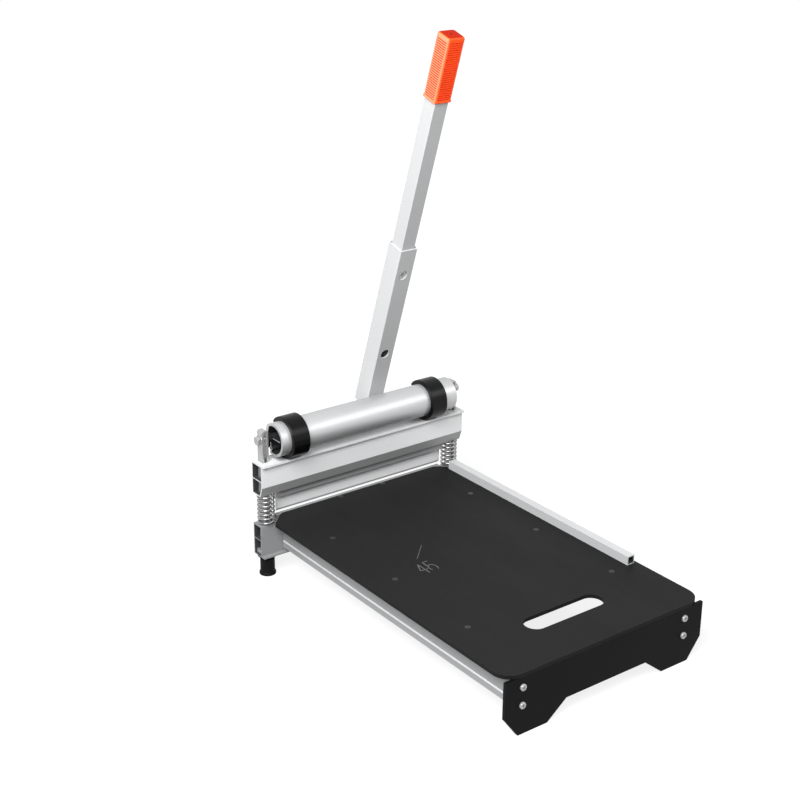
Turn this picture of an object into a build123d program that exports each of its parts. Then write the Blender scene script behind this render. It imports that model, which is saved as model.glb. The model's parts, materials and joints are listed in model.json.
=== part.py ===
from build123d import *
import math
import os

# Laminate cutter: a lever, an eccentric roller, a sprung upper beam with a blade, and a flat table.
# Millimetres, +Z up. X runs from the beams out along the table, Y along the beams.
# The origin is on the floor, in the middle of the whole cutter.

os.makedirs("parts", exist_ok=True)

# Shared clearances
slide_gap = 0.3
pivot_gap = 0.05
press_gap = 0.1

# Blade, whose length sets the cutter's whole width, and the bar that clamps it
blade_length = 322.0
blade_thickness = 3.0
blade_ground_height = 4.5
blade_opening = 5.7
blade_near_gap = 9.0
blade_far_gap = 1.0
clamp_bar_thickness = 8.8
clamp_bar_height = 13.5
clamp_bar_edge = 1.0
blade_screw_count = 5
blade_screw_inset = 22.0
blade_screw_drop = 7.0
blade_middle_y = (blade_near_gap - blade_far_gap) / 2

# Return springs round the hangers
spring_outer = 28.0
spring_wire = 3.0
spring_turns = 5.5
spring_bend_share = 1.4

# Feet
foot_pad_height = 28.0
foot_pad_top_diameter = 23.0
foot_pad_base_diameter = 26.5
foot_flare_height = 6.0
foot_edge_round = 1.5
foot_nut_height = 4.0
foot_washer_diameter = 31.0
foot_washer_thickness = 2.0
foot_bolt_diameter = 8.0
foot_bolt_depth = 16.0
foot_height = foot_pad_height + foot_nut_height + foot_washer_thickness

# Lower beam, a hollow section lying across the front
lower_beam_height = 53.2
lower_beam_depth = 22.3
lower_rib_height = 28.5
lower_lip_reach = 7.4
lower_lip_thickness = 2.5
beam_wall = 2.0
rib_thickness = 1.6
lower_beam_top = foot_height + lower_beam_height

# Anvil strip that the blade comes down on
anvil_height = 4.8
anvil_overlap = 1.0
anvil_length = blade_length + 2 * anvil_overlap

# Upper beam, with the blade's flange behind and a bevel in front
upper_beam_gap = 51.3
upper_beam_height = 54.5
upper_beam_bevel_reach = 6.2
upper_foot_overhang = 0.2
bevel_height = 16.4
upper_rib_height = 26.2
top_lip_reach = 5.1
top_lip_thickness = 3.5
blade_flange_thickness = 3.9
blade_flange_drop = 20.0
upper_foot_depth = lower_beam_depth + upper_foot_overhang
upper_beam_depth = upper_foot_depth + upper_beam_bevel_reach
upper_beam_bottom = lower_beam_top + upper_beam_gap
upper_beam_top = upper_beam_bottom + upper_beam_height

# Hangers, the two strap posts that hold the roller down to the lower beam
post_front_inset = 8.9
post_end_inset = 15.0
strap_width = 14.4
strap_thickness = 3.0
hanger_width = 11.0
hanger_offset = 2.0
hanger_bend_radius = 3.5
hanger_rise = 15.3
anchor_width = 17.5
anchor_length = 24.0
anchor_thickness = 6.0
post_x = lower_beam_depth - post_front_inset
post_y = (blade_near_gap + blade_length + blade_far_gap + spring_outer) / 2
hanger_y = post_y + hanger_offset
beam_length = 2 * (post_y + post_end_inset)

# Table board, with its clipped and rounded corners and its hand slot. It and its rails lie a
# little off the beams' middle, towards the far side.
table_offset_y = 2.0
board_thickness = 6.0
table_reach = 583.3
board_back_gap = 7.9
board_near_inset = 18.8
board_far_inset = 8.0
board_corner_radius = 27.0
notch_step_x = 4.8
notch_step_y = 7.0
notch_post_gap = 25.0
hand_slot_width = 34.0
hand_slot_length = 139.0
hand_slot_inset = 86.3
board_near_edge = beam_length / 2 - board_near_inset
board_far_edge = beam_length / 2 - board_far_inset
notch_outer_y = post_y - notch_post_gap + table_offset_y
hand_slot_centre = table_reach - hand_slot_inset
board_top = lower_beam_top + board_thickness

# Pivot, roller and the wear bands that press on the upper beam
pivot_bolt_diameter = 8.0
pivot_bolt_grip = 32.0
roller_offset_x = 7.9
roller_offset_z = -2.3
roller_radius = 26.6
roller_wall = 4.2
roller_end_gap = 8.5
roller_flat_depth = 3.1
roller_flat_wall = 6.0
roller_boss_radius = 5.6
roller_port_radius = 3.6
roller_port_hole = 2.1
roller_port_drop = 18.4
roller_slot_width = 8.0
roller_slot_angle = -125.0
spacer_diameter = 15.0
band_thickness = 6.7
band_width = 29.5
near_band_inset = 31.0
far_band_inset = 40.0
band_rest_gap = 0.4
band_lead = 6.8
band_top_angle = 152.0
band_tip_angle = 9.0
band_back_angle = 68.0
band_front_angle = 46.0
band_steps = 8
roller_length = 2 * (hanger_y - hanger_width / 2 - roller_end_gap)
pivot_z = upper_beam_top + band_rest_gap + band_thickness + roller_radius - roller_offset_z

# Telescopic handle
handle_lean = 18.24
outer_tube_size = 32.0
outer_tube_wall = 2.0
outer_tube_radius = 2.0
outer_tube_start = -9.0
outer_tube_mouth = 45.0
handle_offset_y = 37.0
access_hole_diameter = 15.0
low_hole_place = 96.0
extension_travel = 147.0
lug_length = 40.0
lug_gap = 0.3
handle_bolt_place = 2.0
handle_bolt_spacing = 14.0
inner_tube_size = 25.0
inner_tube_wall = 1.6
inner_tube_radius = 1.5
inner_tube_tail = 28.0
inner_tube_gap = 0.3
shoe_length = 18.0
shoe_spigot = 14.0
liner_length = 20.0
liner_recess = 8.0
lock_block_length = 20.0
lock_screw_diameter = 8.0
lock_head_diameter = 13.0
lock_head_height = 4.0
lock_socket_size = 5.0
high_hole_place = low_hole_place + extension_travel
outer_tube_end = high_hole_place + outer_tube_mouth

# Grip, which stays clear of the outer tube when the handle is pushed in
grip_clearance = 96.0
grip_length = 95.5
grip_size = 29.0
grip_corner_radius = 4.0
grip_cap = 9.0
grip_collar = 3.0
grip_rib_count = 26
grip_rib_depth = 0.9
grip_rib_share = 0.45
grip_face_share = 0.8
grip_hole_diameter = 4.0
grip_top_round = 2.5
grip_start = outer_tube_end + extension_travel + grip_clearance

# Side rails and end plate
rail_notch_gap = 0.5
rail_height = 46.1
rail_wall = 2.2
rail_ledge = 1.0
rail_ledge_height = 11.5
rail_flange_width = 30.5
rail_flange_thickness = 3.0
rail_port_radius = 3.8
rail_port_hole = 2.1
rail_port_inset = 7.5
rail_port_drop = 15.0
end_plate_thickness = 5.0
plate_cheek_height = 32.0
plate_toe_width = 51.1
plate_toe_inset = 23.7
plate_arch_height = 26.3
plate_arch_slope = 33.4
plate_round = 3.0
rail_outer_y = notch_outer_y - rail_notch_gap
rail_port_y = rail_outer_y - rail_port_inset
rail_top = lower_beam_top
rail_bottom = rail_top - rail_height
rail_port_low = rail_bottom + rail_port_radius
rail_port_high = rail_top - rail_port_drop

# Guide fence along the far edge
fence_start = 30.0
fence_length = 422.0
fence_width = 13.6
fence_height = 13.7
fence_wall = 1.6
fence_blade_gap = 2.8
fence_screw_inset = 30.0
fence_near_y = blade_middle_y + blade_length / 2 + fence_blade_gap

# Fasteners
hex_across_flats = 13.0
hex_head_height = 5.3
washer_diameter = 16.0
washer_thickness = 1.5
pan_head_diameter = 10.0
pan_head_height = 3.0
pan_head_round = 1.2
pan_recess_width = 1.4
pan_recess_length = 5.6
pan_recess_depth = 1.6
rail_screw_diameter = 5.0
rail_screw_length = 22.0
board_screw_diameter = 4.0
board_screw_head = 8.0
board_screw_length = 12.0
board_screw_near_beam_x = 12.7
board_screw_beam_share = 0.106
board_screw_rail_inset = 22.0
board_screw_first = 126.6
board_screw_last_inset = 131.6
board_screw_middle_share = 0.49
fence_screw_length = 7.4
blade_screw_diameter = 6.0
handle_bolt_diameter = 6.0
handle_bolt_head = 10.5
handle_bolt_head_height = 3.3
socket_share = 0.5

# Directions in the leaning handle: along it, and out of its front face
lean = math.radians(handle_lean)
along = Vector(math.sin(lean), 0, math.cos(lean))
front = Vector(math.cos(lean), 0, -math.sin(lean))

# Handle sizes counted from the roller's centre, towards the front face
roller_flat = roller_radius - roller_flat_depth
outer_tube_centre = -roller_flat - outer_tube_size / 2
outer_tube_back = -roller_flat - outer_tube_size
inner_tube_front = -roller_flat - outer_tube_wall - inner_tube_gap
inner_tube_centre = inner_tube_front - inner_tube_size / 2
outer_tube_near_y = handle_offset_y - outer_tube_size / 2
inner_tube_y = outer_tube_near_y + outer_tube_wall + inner_tube_gap + inner_tube_size / 2

# The beams' back face, placed so that the origin is in the middle of the whole length
reach_front = table_reach + pan_head_height
lowest_bolt_edge = handle_bolt_place - handle_bolt_head / 2
reach_back = (
    post_x
    + roller_offset_x
    + lowest_bolt_edge * math.sin(lean)
    + (outer_tube_back - handle_bolt_head_height) * math.cos(lean)
)
back_x = -(reach_front + reach_back) / 2

# Places that several pieces share
post_place_x = back_x + post_x
pivot_x = post_place_x
roller_x = pivot_x + roller_offset_x
roller_z = pivot_z + roller_offset_z
roller_centre = Vector(roller_x, 0, roller_z)
blade_front_x = back_x + blade_flange_thickness + blade_thickness
blade_edge_z = lower_beam_top + anvil_height + blade_opening
blade_screw_z = upper_beam_bottom - blade_screw_drop
hanger_top = pivot_z + hanger_rise
hanger_bottom = foot_height + beam_wall + anchor_thickness
plate_inner_x = back_x + table_reach - end_plate_thickness
rail_start_x = back_x + lower_beam_depth
fence_centre_y = fence_near_y + fence_width / 2


def handle_plane(place, y=0.0):
    # A plane square to the handle: its X points to the handle's front, its Y along the beams
    return Plane(
        origin=roller_centre + along * place + Vector(0, y, 0),
        x_dir=front,
        z_dir=along,
    )


def face_plane(depth, place, y):
    # A plane parallel to the handle's front face, at a depth from the roller's centre
    return Plane(
        origin=roller_centre + front * depth + along * place + Vector(0, y, 0),
        x_dir=(0, 1, 0),
        z_dir=front,
    )


def section_plane(y):
    # A plane square to the beams, whose sketch has world X and Z
    return Plane.XZ.offset(-y)


def make_lower_beam():
    with BuildPart() as lower_beam:
        with BuildSketch(section_plane(0)):
            with Locations((back_x + lower_beam_depth / 2, foot_height + lower_beam_height / 2)):
                Rectangle(lower_beam_depth, lower_beam_height)
                Rectangle(
                    lower_beam_depth - 2 * beam_wall,
                    lower_beam_height - 2 * beam_wall,
                    mode=Mode.SUBTRACT,
                )
            with Locations((back_x + lower_beam_depth / 2, foot_height + lower_rib_height)):
                Rectangle(lower_beam_depth - beam_wall, rib_thickness)
            with Locations((back_x + lower_beam_depth, foot_height)):
                Rectangle(lower_lip_reach, lower_lip_thickness, align=(Align.MIN, Align.MIN))
        extrude(amount=beam_length / 2, both=True)
        # Slots that the hangers come down through, to their anchors on the bottom wall
        with BuildSketch(Plane.XY.offset(foot_height + beam_wall)):
            with Locations((post_place_x, -hanger_y), (post_place_x, hanger_y)):
                Rectangle(strap_width + 2 * slide_gap, hanger_width + 2 * slide_gap)
        extrude(amount=lower_beam_height, mode=Mode.SUBTRACT)
        with BuildSketch(Plane.XY.offset(foot_height)):
            with Locations((post_place_x, -post_y), (post_place_x, post_y)):
                Circle(foot_bolt_diameter / 2 + press_gap)
        extrude(amount=beam_wall, mode=Mode.SUBTRACT)
        # Holes for the long screws into the rails and the short ones into the board
        with BuildSketch(Plane.YZ.offset(back_x)):
            with Locations(*rail_port_places()):
                Circle(rail_screw_diameter / 2 + press_gap)
        extrude(amount=lower_beam_depth, mode=Mode.SUBTRACT)
        with BuildSketch(Plane.XY.offset(lower_beam_top)):
            with Locations(*beam_screw_places()):
                Circle(board_screw_diameter / 2)
        extrude(amount=-beam_wall, mode=Mode.SUBTRACT)
    lower_beam.part.label = "lower_beam"
    export_step(lower_beam.part, "parts/lower_beam.step")


def rail_port_places():
    near, far = table_offset_y - rail_port_y, table_offset_y + rail_port_y
    return [(y, z) for y in (near, far) for z in (rail_port_low, rail_port_high)]


def beam_screw_places():
    x = back_x + board_screw_near_beam_x
    y = beam_length * board_screw_beam_share
    return [(x, table_offset_y - y), (x, table_offset_y + y)]


def side_screw_places():
    first = back_x + board_screw_first
    last = back_x + table_reach - board_screw_last_inset
    middle = first + (last - first) * board_screw_middle_share
    y = rail_outer_y - board_screw_rail_inset
    return [(x, table_offset_y + side * y) for x in (first, middle, last) for side in (-1, 1)]


def fence_screw_places():
    first = back_x + fence_start + fence_screw_inset
    last = back_x + fence_start + fence_length - fence_screw_inset
    return [(x, fence_centre_y) for x in (first, (first + last) / 2, last)]


def make_anvil_strip():
    with BuildPart() as anvil_strip:
        with BuildSketch(Plane.XY.offset(lower_beam_top)):
            with Locations((back_x, blade_middle_y)):
                Rectangle(board_back_gap, anvil_length, align=(Align.MIN, Align.CENTER))
        extrude(amount=anvil_height)
    anvil_strip.part.label = "anvil_strip"
    export_step(anvil_strip.part, "parts/anvil_strip.step")


def make_table_board():
    edge_x = back_x + board_back_gap
    step_x = edge_x + notch_step_x
    far_x = back_x + table_reach
    near_notch = table_offset_y - notch_outer_y
    far_notch = table_offset_y + notch_outer_y
    with BuildPart() as table_board:
        with BuildSketch(Plane.XY.offset(lower_beam_top)) as outline:
            with BuildLine():
                Polyline(
                    (edge_x, near_notch + notch_step_y),
                    (step_x, near_notch),
                    (step_x + board_near_edge + near_notch, -board_near_edge),
                    (far_x, -board_near_edge),
                    (far_x, board_far_edge),
                    (step_x + board_far_edge - far_notch, board_far_edge),
                    (step_x, far_notch),
                    (edge_x, far_notch - notch_step_y),
                    close=True,
                )
            make_face()
            fillet(outline.vertices().group_by(Axis.X)[-1], board_corner_radius)
            with Locations((back_x + hand_slot_centre, table_offset_y)):
                SlotOverall(hand_slot_length, hand_slot_width, rotation=90, mode=Mode.SUBTRACT)
        extrude(amount=board_thickness)
        with Locations(Plane.XY.offset(board_top)):
            with Locations(*beam_screw_places(), *side_screw_places()):
                CounterSinkHole(board_screw_diameter / 2 + press_gap, board_screw_head / 2 + press_gap)
        with BuildSketch(Plane.XY.offset(lower_beam_top)):
            with Locations(*fence_screw_places()):
                Circle(board_screw_diameter / 2 + press_gap)
        extrude(amount=board_thickness, mode=Mode.SUBTRACT)
    table_board.part.label = "table_board"
    export_step(table_board.part, "parts/table_board.step")


def make_side_rail(name, side):
    outer = table_offset_y + side * rail_outer_y
    port_y = table_offset_y + side * rail_port_y
    inward = (Align.MAX if side > 0 else Align.MIN, Align.MIN)
    with BuildPart() as side_rail:
        with BuildSketch(Plane.YZ.offset(rail_start_x)):
            with Locations((outer, rail_bottom)):
                Rectangle(rail_wall, rail_height, align=inward)
            with Locations((outer + side * rail_ledge, rail_bottom)):
                Rectangle(rail_wall + rail_ledge, rail_ledge_height, align=inward)
            with Locations((outer, rail_top - rail_flange_thickness)):
                Rectangle(rail_flange_width, rail_flange_thickness, align=inward)
            # Screw ports, each joined to the outer wall by a web
            for port_z in (rail_port_low, rail_port_high):
                with Locations(((outer + port_y) / 2, port_z)):
                    Rectangle(rail_outer_y - rail_port_y, rail_port_radius)
                with Locations((port_y, port_z)):
                    Circle(rail_port_radius)
                    Circle(rail_port_hole, mode=Mode.SUBTRACT)
        extrude(amount=plate_inner_x - rail_start_x)
        with BuildSketch(Plane.XY.offset(rail_top)):
            with Locations(*[place for place in side_screw_places() if place[1] * side > 0]):
                Circle(board_screw_diameter / 2)
        extrude(amount=-rail_flange_thickness, mode=Mode.SUBTRACT)
        # Room for the long screws' thread at both ends
        with BuildSketch(Plane.YZ.offset(rail_start_x)):
            with Locations((port_y, rail_port_low), (port_y, rail_port_high)):
                Circle(rail_screw_diameter / 2)
        extrude(amount=rail_screw_length, mode=Mode.SUBTRACT)
        with BuildSketch(Plane.YZ.offset(plate_inner_x)):
            with Locations((port_y, rail_port_low), (port_y, rail_port_high)):
                Circle(rail_screw_diameter / 2)
        extrude(amount=-rail_screw_length, mode=Mode.SUBTRACT)
    side_rail.part.label = name
    export_step(side_rail.part, f"parts/{name}.step")


def make_end_plate():
    toe_near = board_near_edge - plate_toe_inset
    toe_far = board_far_edge - plate_toe_inset
    with BuildPart() as end_plate:
        with BuildSketch(Plane.YZ.offset(plate_inner_x)) as outline:
            with BuildLine():
                Polyline(
                    (-board_near_edge, lower_beam_top),
                    (-board_near_edge, plate_cheek_height),
                    (-toe_near, 0),
                    (plate_toe_width - toe_near, 0),
                    (plate_toe_width + plate_arch_slope - toe_near, plate_arch_height),
                    (toe_far - plate_toe_width - plate_arch_slope, plate_arch_height),
                    (toe_far - plate_toe_width, 0),
                    (toe_far, 0),
                    (board_far_edge, plate_cheek_height),
                    (board_far_edge, lower_beam_top),
                    close=True,
                )
            make_face()
            fillet(outline.vertices().group_by(Axis.Z)[:-1], plate_round)
            with Locations(*rail_port_places()):
                Circle(rail_screw_diameter / 2 + press_gap, mode=Mode.SUBTRACT)
        extrude(amount=end_plate_thickness)
    end_plate.part.label = "end_plate"
    export_step(end_plate.part, "parts/end_plate.step")


def make_guide_fence():
    with BuildPart() as guide_fence:
        with BuildSketch(Plane.YZ.offset(back_x + fence_start)):
            with Locations((fence_centre_y, board_top + fence_height / 2)):
                Rectangle(fence_width, fence_height)
                Rectangle(fence_width - 2 * fence_wall, fence_height - 2 * fence_wall, mode=Mode.SUBTRACT)
        extrude(amount=fence_length)
        with BuildSketch(Plane.XY.offset(board_top)):
            with Locations(*fence_screw_places()):
                Circle(board_screw_diameter / 2)
        extrude(amount=fence_wall, mode=Mode.SUBTRACT)
    guide_fence.part.label = "guide_fence"
    export_step(guide_fence.part, "parts/guide_fence.step")


def make_foot(name, side):
    with BuildPart() as foot:
        with BuildSketch(Plane.XZ.offset(-side * post_y)) as outline:
            with BuildLine():
                Polyline(
                    (post_place_x, 0),
                    (post_place_x + foot_pad_base_diameter / 2, 0),
                    (post_place_x + foot_pad_base_diameter / 2, foot_flare_height / 2),
                    (post_place_x + foot_pad_top_diameter / 2, foot_flare_height),
                    (post_place_x + foot_pad_top_diameter / 2, foot_pad_height),
                    (post_place_x, foot_pad_height),
                    close=True,
                )
            make_face()
        foot_axis = Axis((post_place_x, side * post_y, 0), (0, 0, 1))
        revolve(axis=foot_axis)
        fillet(foot.edges().filter_by(GeomType.CIRCLE).sort_by(Axis.Z)[-1], foot_edge_round)
        with BuildSketch(Plane.XY.offset(foot_pad_height)):
            with Locations((post_place_x, side * post_y)):
                Circle(foot_bolt_diameter / 2)
        extrude(amount=-foot_bolt_depth, mode=Mode.SUBTRACT)
    foot.part.label = name
    export_step(foot.part, f"parts/{name}.step")


def make_foot_washers():
    with BuildPart() as foot_washers:
        with BuildSketch(Plane.XY.offset(foot_height - foot_washer_thickness)):
            with Locations((post_place_x, -post_y), (post_place_x, post_y)):
                Circle(foot_washer_diameter / 2)
                Circle(foot_bolt_diameter / 2 + press_gap, mode=Mode.SUBTRACT)
        extrude(amount=foot_washer_thickness)
    foot_washers.part.label = "foot_washers"
    export_step(foot_washers.part, "parts/foot_washers.step")


def make_foot_lock_nuts():
    with BuildPart() as foot_lock_nuts:
        with BuildSketch(Plane.XY.offset(foot_pad_height)):
            with Locations((post_place_x, -post_y), (post_place_x, post_y)):
                RegularPolygon(hex_across_flats / 2, 6, major_radius=False)
                Circle(foot_bolt_diameter / 2, mode=Mode.SUBTRACT)
        extrude(amount=foot_nut_height)
    foot_lock_nuts.part.label = "foot_lock_nuts"
    export_step(foot_lock_nuts.part, "parts/foot_lock_nuts.step")


def make_foot_bolts():
    with BuildPart() as foot_bolts:
        with BuildSketch(Plane.XY.offset(foot_pad_height - foot_bolt_depth)):
            with Locations((post_place_x, -post_y), (post_place_x, post_y)):
                Circle(foot_bolt_diameter / 2)
        extrude(amount=hanger_bottom - foot_pad_height + foot_bolt_depth)
    foot_bolts.part.label = "foot_bolts"
    export_step(foot_bolts.part, "parts/foot_bolts.step")


def make_hanger(name, side):
    centre = side * hanger_y
    with BuildPart() as hanger:
        with BuildSketch(Plane.YZ.offset(post_place_x)) as outline:
            with Locations((centre, hanger_bottom)):
                Rectangle(hanger_width, hanger_top - hanger_bottom, align=(Align.CENTER, Align.MIN))
            fillet(outline.vertices().group_by(Axis.Z)[-1], hanger_bend_radius)
            with Locations((centre, hanger_bottom)):
                Rectangle(
                    hanger_width - 2 * strap_thickness,
                    hanger_top - hanger_bottom - strap_thickness,
                    align=(Align.CENTER, Align.MIN),
                    mode=Mode.SUBTRACT,
                )
        extrude(amount=strap_width / 2, both=True)
        with BuildSketch(section_plane(centre)):
            with Locations((pivot_x, pivot_z)):
                Circle(pivot_bolt_diameter / 2 + pivot_gap)
        extrude(amount=hanger_width, both=True, mode=Mode.SUBTRACT)
    hanger.part.label = name
    export_step(hanger.part, f"parts/{name}.step")


def make_hanger_anchors():
    with BuildPart() as hanger_anchors:
        with BuildSketch(Plane.XY.offset(foot_height + beam_wall)):
            middle_x = back_x + lower_beam_depth / 2
            with Locations((middle_x, -post_y), (middle_x, post_y)):
                Rectangle(anchor_width, anchor_length)
            with Locations((post_place_x, -post_y), (post_place_x, post_y)):
                Circle(foot_bolt_diameter / 2, mode=Mode.SUBTRACT)
        extrude(amount=anchor_thickness)
    hanger_anchors.part.label = "hanger_anchors"
    export_step(hanger_anchors.part, "parts/hanger_anchors.step")


def make_pivot_bolt(name, side):
    washer_reach = hanger_y + hanger_width / 2 + washer_thickness
    tip_reach = roller_length / 2 - pivot_bolt_grip
    with BuildPart() as pivot_bolt:
        with BuildSketch(section_plane(side * washer_reach)):
            with Locations((pivot_x, pivot_z)):
                RegularPolygon(hex_across_flats / 2, 6, major_radius=False, rotation=30)
        extrude(amount=-side * hex_head_height)
        with BuildSketch(section_plane(side * washer_reach)):
            with Locations((pivot_x, pivot_z)):
                Circle(pivot_bolt_diameter / 2)
        extrude(amount=side * (washer_reach - tip_reach))
    pivot_bolt.part.label = name
    export_step(pivot_bolt.part, f"parts/{name}.step")


def make_pivot_washers():
    with BuildPart() as pivot_washers:
        for side in (-1, 1):
            with BuildSketch(section_plane(side * (hanger_y + hanger_width / 2))):
                with Locations((pivot_x, pivot_z)):
                    Circle(washer_diameter / 2)
                    Circle(pivot_bolt_diameter / 2 + press_gap, mode=Mode.SUBTRACT)
            extrude(amount=-side * washer_thickness)
    pivot_washers.part.label = "pivot_washers"
    export_step(pivot_washers.part, "parts/pivot_washers.step")


def make_pivot_spacers():
    inner_face = hanger_y - hanger_width / 2
    spacer_length = inner_face - roller_length / 2 - slide_gap
    with BuildPart() as pivot_spacers:
        for side in (-1, 1):
            with BuildSketch(section_plane(side * inner_face)):
                with Locations((pivot_x, pivot_z)):
                    Circle(spacer_diameter / 2)
                    Circle(pivot_bolt_diameter / 2 + press_gap, mode=Mode.SUBTRACT)
            extrude(amount=side * spacer_length)
    pivot_spacers.part.label = "pivot_spacers"
    export_step(pivot_spacers.part, "parts/pivot_spacers.step")


def join_by_two_arcs(start, start_dir, end, end_dir):
    # Two arcs in a row from one point and direction to another, meeting with one tangent
    span = end - start
    both_dirs = start_dir + end_dir
    turn = 2 * (1 - start_dir.dot(end_dir))
    reach = span.dot(both_dirs)
    length = (math.sqrt(reach**2 + turn * span.dot(span)) - reach) / turn
    middle = (start + end + (start_dir - end_dir) * length) * 0.5
    middle_dir = (span - both_dirs * length).normalized()
    TangentArc(start, middle, tangent=start_dir)
    TangentArc(middle, end, tangent=middle_dir)


def spring_points(side):
    # Points and directions where the spring's coil changes arc, from its lower to its upper end
    radius = (spring_outer - spring_wire) / 2
    bend = spring_wire * spring_bend_share
    bend_angle = bend / radius
    coil_angle = 2 * math.pi * spring_turns - 2 * bend_angle
    coil_rise = upper_beam_gap - 2 * spring_wire - 2 * bend
    steps = round(coil_angle / (math.pi / 2))
    start_angle = math.pi / 2 + bend_angle
    points = []
    for step in range(steps + 1):
        angle = start_angle + coil_angle * step / steps
        height = spring_wire + bend + coil_rise * step / steps
        place = Vector(radius * math.cos(angle), radius * math.sin(angle), height)
        heading = Vector(
            -radius * math.sin(angle),
            radius * math.cos(angle),
            coil_rise / coil_angle,
        )
        points.append((place, heading.normalized()))
    low = Vector(0, radius, spring_wire)
    high_angle = math.pi / 2 + 2 * math.pi * spring_turns
    high = Vector(
        radius * math.cos(high_angle),
        radius * math.sin(high_angle),
        upper_beam_gap - spring_wire,
    )
    upright = Vector(0, 0, 1)
    points.insert(0, (low, upright))
    points.append((high, upright))
    base = Vector(post_place_x, side * post_y, lower_beam_top)
    return [(base + place, heading) for place, heading in points]


def make_return_spring(name, side):
    points = spring_points(side)
    rise = Vector(0, 0, spring_wire)
    with BuildPart() as return_spring:
        with BuildLine() as path:
            Line(points[0][0] - rise, points[0][0])
            for (start, start_dir), (end, end_dir) in zip(points, points[1:]):
                join_by_two_arcs(start, start_dir, end, end_dir)
            Line(points[-1][0], points[-1][0] + rise)
        with BuildSketch(Plane(origin=points[0][0] - rise, z_dir=(0, 0, 1))):
            Circle(spring_wire / 2)
        sweep(path=path.wires()[0])
    print(name, "least gap to itself", round(least_gap(path.wires()[0]), 2), "mm")
    return_spring.part.label = name
    export_step(return_spring.part, f"parts/{name}.step")


def least_gap(wire):
    # The least distance between turns, less the wire's thickness
    count = 600
    places = [wire.position_at(step / count) for step in range(count + 1)]
    apart = math.ceil(2 * spring_wire * count / wire.length)
    near = min(
        (places[i] - places[j]).length
        for i in range(count + 1)
        for j in range(i + apart, count + 1)
    )
    return near - spring_wire


def make_upper_beam():
    back = back_x
    foot_edge = back_x + upper_foot_depth
    front_face = back_x + upper_beam_depth
    with BuildPart() as upper_beam:
        with BuildSketch(section_plane(0)):
            with BuildLine():
                Polyline(
                    (back, upper_beam_bottom),
                    (foot_edge, upper_beam_bottom),
                    (front_face, upper_beam_bottom + bevel_height),
                    (front_face, upper_beam_top),
                    (back, upper_beam_top),
                    close=True,
                )
            make_face()
            offset(amount=-beam_wall, kind=Kind.INTERSECTION, mode=Mode.SUBTRACT)
            with Locations((back + upper_foot_depth / 2, upper_beam_bottom + upper_rib_height)):
                Rectangle(upper_foot_depth, rib_thickness)
            with Locations((front_face - beam_wall / 2, upper_beam_bottom + upper_rib_height)):
                Rectangle(upper_beam_depth - upper_foot_depth, rib_thickness, align=(Align.MAX, Align.CENTER))
            with Locations((back, upper_beam_top - top_lip_thickness)):
                Rectangle(
                    upper_beam_depth + top_lip_reach,
                    top_lip_thickness,
                    align=(Align.MIN, Align.MIN),
                )
        extrude(amount=beam_length / 2, both=True)
        # Flange behind the blade, cut away at the ends for the springs
        with BuildSketch(section_plane(blade_middle_y)):
            with Locations((back, upper_beam_bottom - blade_flange_drop)):
                Rectangle(
                    blade_flange_thickness,
                    blade_flange_drop,
                    align=(Align.MIN, Align.MIN),
                )
        extrude(amount=blade_length / 2, both=True)
        with BuildSketch(Plane.YZ.offset(back)):
            with Locations(*blade_screw_places()):
                Circle(blade_screw_diameter / 2 + press_gap)
        extrude(amount=blade_flange_thickness, mode=Mode.SUBTRACT)
        # Slots that let the beam slide on the hangers
        with BuildSketch(Plane.XY.offset(upper_beam_bottom)):
            with Locations((post_place_x, -hanger_y), (post_place_x, hanger_y)):
                Rectangle(strap_width + 2 * slide_gap, hanger_width + 2 * slide_gap)
        extrude(amount=upper_beam_height, mode=Mode.SUBTRACT)
    upper_beam.part.label = "upper_beam"
    export_step(upper_beam.part, "parts/upper_beam.step")


def blade_screw_places():
    first = blade_middle_y + blade_screw_inset - blade_length / 2
    pitch = (blade_length - 2 * blade_screw_inset) / (blade_screw_count - 1)
    return [(first + step * pitch, blade_screw_z) for step in range(blade_screw_count)]


def make_cutting_blade():
    blade_back_x = back_x + blade_flange_thickness
    with BuildPart() as cutting_blade:
        with BuildSketch(section_plane(blade_middle_y)):
            with BuildLine():
                Polyline(
                    (blade_back_x, blade_edge_z),
                    (blade_front_x, blade_edge_z + blade_ground_height),
                    (blade_front_x, upper_beam_bottom),
                    (blade_back_x, upper_beam_bottom),
                    close=True,
                )
            make_face()
        extrude(amount=blade_length / 2, both=True)
        with BuildSketch(Plane.YZ.offset(blade_back_x)):
            with Locations(*blade_screw_places()):
                Circle(blade_screw_diameter / 2 + press_gap)
        extrude(amount=blade_thickness, mode=Mode.SUBTRACT)
    cutting_blade.part.label = "cutting_blade"
    export_step(cutting_blade.part, "parts/cutting_blade.step")


def make_blade_clamp_bar():
    with BuildPart() as blade_clamp_bar:
        with BuildSketch(section_plane(blade_middle_y)) as outline:
            with Locations((blade_front_x, upper_beam_bottom)):
                Rectangle(clamp_bar_thickness, clamp_bar_height, align=(Align.MIN, Align.MAX))
            chamfer(outline.vertices().group_by(Axis.Z)[0].sort_by(Axis.X)[-1], clamp_bar_edge)
        extrude(amount=blade_length / 2, both=True)
        with BuildSketch(Plane.YZ.offset(blade_front_x)):
            with Locations(*blade_screw_places()):
                Circle(blade_screw_diameter / 2)
        extrude(amount=clamp_bar_thickness - clamp_bar_edge, mode=Mode.SUBTRACT)
    blade_clamp_bar.part.label = "blade_clamp_bar"
    export_step(blade_clamp_bar.part, "parts/blade_clamp_bar.step")


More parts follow.
